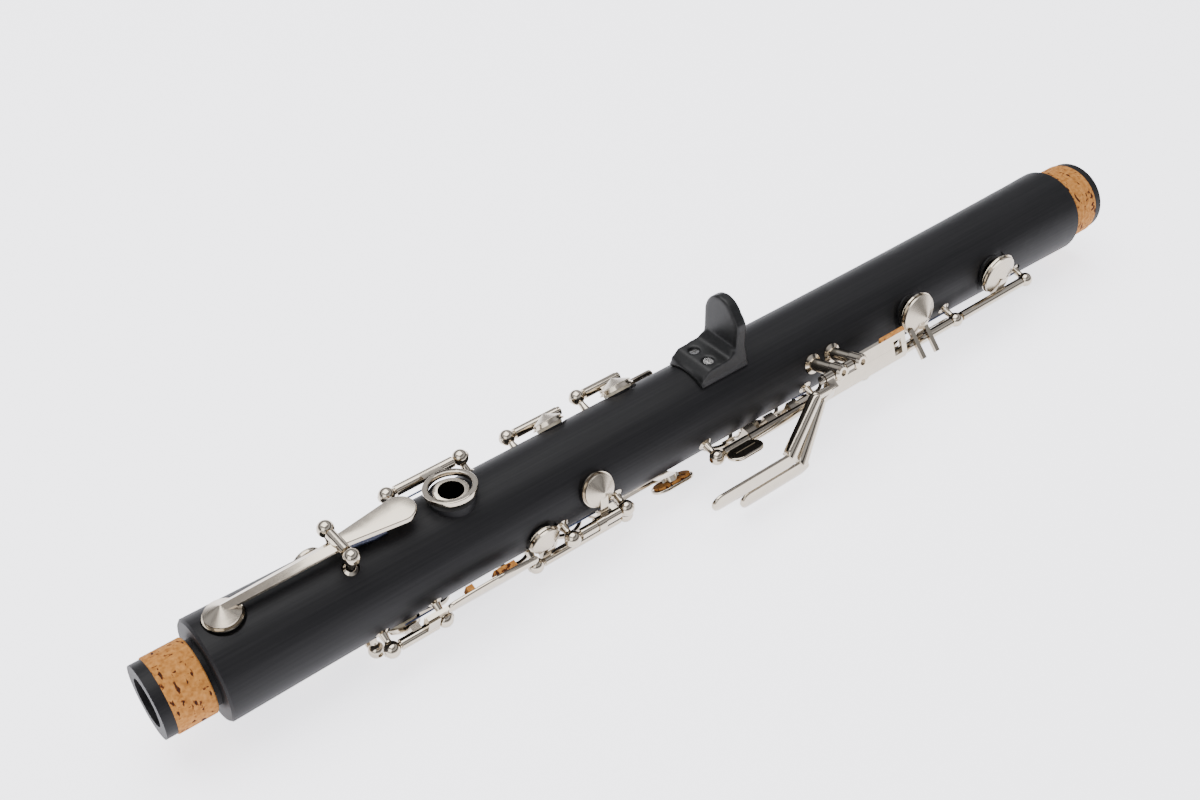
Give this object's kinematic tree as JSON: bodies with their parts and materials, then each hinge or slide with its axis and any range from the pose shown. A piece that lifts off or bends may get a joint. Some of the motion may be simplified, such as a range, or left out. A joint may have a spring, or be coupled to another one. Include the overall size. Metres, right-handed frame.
{
  "type": "clarinet body",
  "caption": "One-piece black clarinet body with bright keywork, finger rings, tone-hole pads, a hooked thumb rest and a corked tenon at each end, without mouthpiece, barrel or bell.",
  "frame": {"origin": "on the axis of the bore, in the plane of the shoulder that the barrel meets", "axes": "+X down the bore towards the bell end, +Z out of the thumb hole side, +Y to the right of the player"},
  "size_m": [0.3474, 0.0505, 0.0532],
  "materials": {
    "body": "satin black, brushed along the bore",
    "thumb_rest": "semi-gloss black",
    "inserts": "polished black",
    "keywork": "polished nickel plate",
    "screws": "polished",
    "spring_steel": "blued",
    "cork": "matt sheet cork with dark flecks",
    "pad": "matt cream"
  },
  "bodies": {
    "body": {"barrel_tenon_cork": "cork", "bell_tenon_cork": "cork", "body_tube": "body", "finger_hole_inserts": "inserts", "hinge_rods": "keywork", "lever_posts": "keywork", "lower_posts": "keywork", "needle_springs": "spring_steel", "register_flat_spring": "spring_steel", "thumb_hole_insert": "inserts", "thumb_rest": "thumb_rest", "thumb_rest_screws": "screws", "upper_posts": "keywork"},
    "register_key": {"register_key": "keywork", "register_pad": "pad", "register_cork": "cork"},
    "throat_a_key": {"throat_a_key": "keywork", "throat_a_pad": "pad"},
    "throat_gsharp_key": {"throat_gsharp_key": "keywork", "throat_gsharp_pad": "pad", "throat_gsharp_corks": "cork"},
    "thumb_ring_key": {"thumb_ring_key": "keywork"},
    "upper_ring_key": {"upper_ring_key": "keywork", "upper_ring_pad": "pad"},
    "left_sliver_key": {"left_sliver_key": "keywork", "left_sliver_pad": "pad"},
    "csharp_key": {"csharp_key": "keywork", "csharp_pad": "pad", "csharp_spoon_cork": "cork"},
    "side_eb_key": {"side_eb_key": "keywork", "side_eb_pad": "pad"},
    "side_fsharp_key": {"side_fsharp_key": "keywork", "side_fsharp_pad": "pad"},
    "trill_high_key": {"trill_high_key": "keywork", "trill_high_pad": "pad"},
    "trill_low_key": {"trill_low_key": "keywork", "trill_low_pad": "pad"},
    "lower_ring_key": {"lower_ring_key": "keywork", "lower_ring_pad": "pad"},
    "left_f_lever": {"left_f_lever": "keywork"},
    "right_sliver_key": {"right_sliver_key": "keywork", "right_sliver_pad": "pad"},
    "left_e_lever": {"left_e_lever": "keywork"},
    "left_fsharp_lever": {"left_fsharp_lever": "keywork", "lever_cork": "cork"},
    "fsharp_key": {"fsharp_key": "keywork", "fsharp_pad": "pad"},
    "right_fsharp_touch": {"right_fsharp_touch": "keywork"},
    "right_e_touch": {"right_e_touch": "keywork"},
    "e_key": {"e_key": "keywork", "e_pad": "pad"},
    "aflat_key": {"aflat_key": "keywork", "aflat_pad": "pad"},
    "f_key": {"f_key": "keywork", "f_pad": "pad"}
  },
  "joints": [
    {"name": "register_key_turn", "type": "hinge", "parent": "body", "child": "register_key", "pos_m": [0.04, 0, 0.01791], "axis": [0, 1, 0], "range_deg": [0, 5], "stiffness_Nm_per_rad": 0.02, "springref_deg": -14.32},
    {"name": "throat_a_key_turn", "type": "hinge", "parent": "body", "child": "throat_a_key", "pos_m": [0.042, 0, -0.01791], "axis": [0, 1, 0], "range_deg": [-6, 0], "stiffness_Nm_per_rad": 0.02, "springref_deg": 14.32},
    {"name": "throat_gsharp_key_turn", "type": "hinge", "parent": "body", "child": "throat_gsharp_key", "pos_m": [0, -0.01585, -0.00915], "axis": [1, 0, 0], "range_deg": [-9, 0], "stiffness_Nm_per_rad": 0.02, "springref_deg": 14.32},
    {"name": "thumb_ring_key_turn", "type": "hinge", "parent": "body", "child": "thumb_ring_key", "pos_m": [0, 0.01077, 0.01379], "axis": [1, 0, 0], "range_deg": [0, 6], "stiffness_Nm_per_rad": 0.02, "springref_deg": -14.32},
    {"name": "upper_ring_key_turn", "type": "hinge", "parent": "body", "child": "upper_ring_key", "pos_m": [0, 0.0098, -0.0151], "axis": [1, 0, 0], "range_deg": [-6.5, 0], "stiffness_Nm_per_rad": 0.02, "springref_deg": 14.32},
    {"name": "left_sliver_key_turn", "type": "hinge", "parent": "body", "child": "left_sliver_key", "pos_m": [0, -0.01295, -0.0125], "axis": [1, 0, 0], "range_deg": [0, 8], "stiffness_Nm_per_rad": 0.02, "springref_deg": -14.32},
    {"name": "csharp_key_turn", "type": "hinge", "parent": "body", "child": "csharp_key", "pos_m": [0, -0.0173, -0.00496], "axis": [1, 0, 0], "range_deg": [0, 5.5], "stiffness_Nm_per_rad": 0.02, "springref_deg": -14.32},
    {"name": "side_eb_key_turn", "type": "hinge", "parent": "body", "child": "side_eb_key", "pos_m": [0, 0.01673, 0.00609], "axis": [1, 0, 0], "range_deg": [-10, 0], "stiffness_Nm_per_rad": 0.02, "springref_deg": 14.32},
    {"name": "side_fsharp_key_turn", "type": "hinge", "parent": "body", "child": "side_fsharp_key", "pos_m": [0, 0.01725, 0.00697], "axis": [1, 0, 0], "range_deg": [-10, 0], "stiffness_Nm_per_rad": 0.02, "springref_deg": 14.32},
    {"name": "trill_high_key_turn", "type": "hinge", "parent": "body", "child": "trill_high_key", "pos_m": [0, 0.01318, -0.01106], "axis": [1, 0, 0], "range_deg": [-9, 0], "stiffness_Nm_per_rad": 0.02, "springref_deg": 14.32},
    {"name": "trill_low_key_turn", "type": "hinge", "parent": "body", "child": "trill_low_key", "pos_m": [0, 0.01595, -0.00644], "axis": [1, 0, 0], "range_deg": [-9, 0], "stiffness_Nm_per_rad": 0.02, "springref_deg": 14.32},
    {"name": "lower_ring_key_turn", "type": "hinge", "parent": "body", "child": "lower_ring_key", "pos_m": [0, -0.01778, -0.0051], "axis": [1, 0, 0], "range_deg": [0, 4], "stiffness_Nm_per_rad": 0.02, "springref_deg": -14.32},
    {"name": "left_f_lever_turn", "type": "hinge", "parent": "body", "child": "left_f_lever", "pos_m": [0, -0.01778, -0.0051], "axis": [1, 0, 0], "range_deg": [-6.05, 0]},
    {"name": "right_sliver_key_turn", "type": "hinge", "parent": "body", "child": "right_sliver_key", "pos_m": [0, 0.01004, -0.01434], "axis": [1, 0, 0], "range_deg": [-10, 0], "stiffness_Nm_per_rad": 0.02, "springref_deg": 14.32},
    {"name": "left_e_lever_turn", "type": "hinge", "parent": "body", "child": "left_e_lever", "pos_m": [0, -0.02244, 0.00729], "axis": [1, 0, 0], "range_deg": [0, 4.85]},
    {"name": "left_fsharp_lever_turn", "type": "hinge", "parent": "body", "child": "left_fsharp_lever", "pos_m": [0, -0.02244, 0.00729], "axis": [1, 0, 0], "range_deg": [0, 4.85]},
    {"name": "fsharp_key_turn", "type": "hinge", "parent": "body", "child": "fsharp_key", "pos_m": [0, -0.01778, -0.0051], "axis": [1, 0, 0], "range_deg": [-9.6, 0], "stiffness_Nm_per_rad": 0.02, "springref_deg": 14.32},
    {"name": "right_fsharp_touch_turn", "type": "hinge", "parent": "body", "child": "right_fsharp_touch", "pos_m": [0, 0.00466, -0.01739], "axis": [1, 0, 0], "range_deg": [0, 9.65]},
    {"name": "right_e_touch_turn", "type": "hinge", "parent": "body", "child": "right_e_touch", "pos_m": [0, 0.00466, -0.01739], "axis": [1, 0, 0], "range_deg": [0, 7.01]},
    {"name": "e_key_turn", "type": "hinge", "parent": "body", "child": "e_key", "pos_m": [0, -0.01778, -0.0051], "axis": [1, 0, 0], "range_deg": [-11.6, 0], "stiffness_Nm_per_rad": 0.02, "springref_deg": 14.32},
    {"name": "aflat_key_turn", "type": "hinge", "parent": "body", "child": "aflat_key", "pos_m": [0, 0.00466, -0.01739], "axis": [1, 0, 0], "range_deg": [0, 9], "stiffness_Nm_per_rad": 0.02, "springref_deg": -14.32},
    {"name": "f_key_turn", "type": "hinge", "parent": "body", "child": "f_key", "pos_m": [0, 0.00466, -0.01739], "axis": [1, 0, 0], "range_deg": [0, 7.5], "stiffness_Nm_per_rad": 0.02, "springref_deg": -14.32}
  ],
  "couplings": [
    {"joint": "right_fsharp_touch_turn", "follows": "fsharp_key_turn", "ratio": -1},
    {"joint": "left_fsharp_lever_turn", "follows": "fsharp_key_turn", "ratio": -0.5},
    {"joint": "right_e_touch_turn", "follows": "e_key_turn", "ratio": -0.6},
    {"joint": "left_e_lever_turn", "follows": "e_key_turn", "ratio": -0.4},
    {"joint": "left_f_lever_turn", "follows": "f_key_turn", "ratio": -0.8}
  ]
}
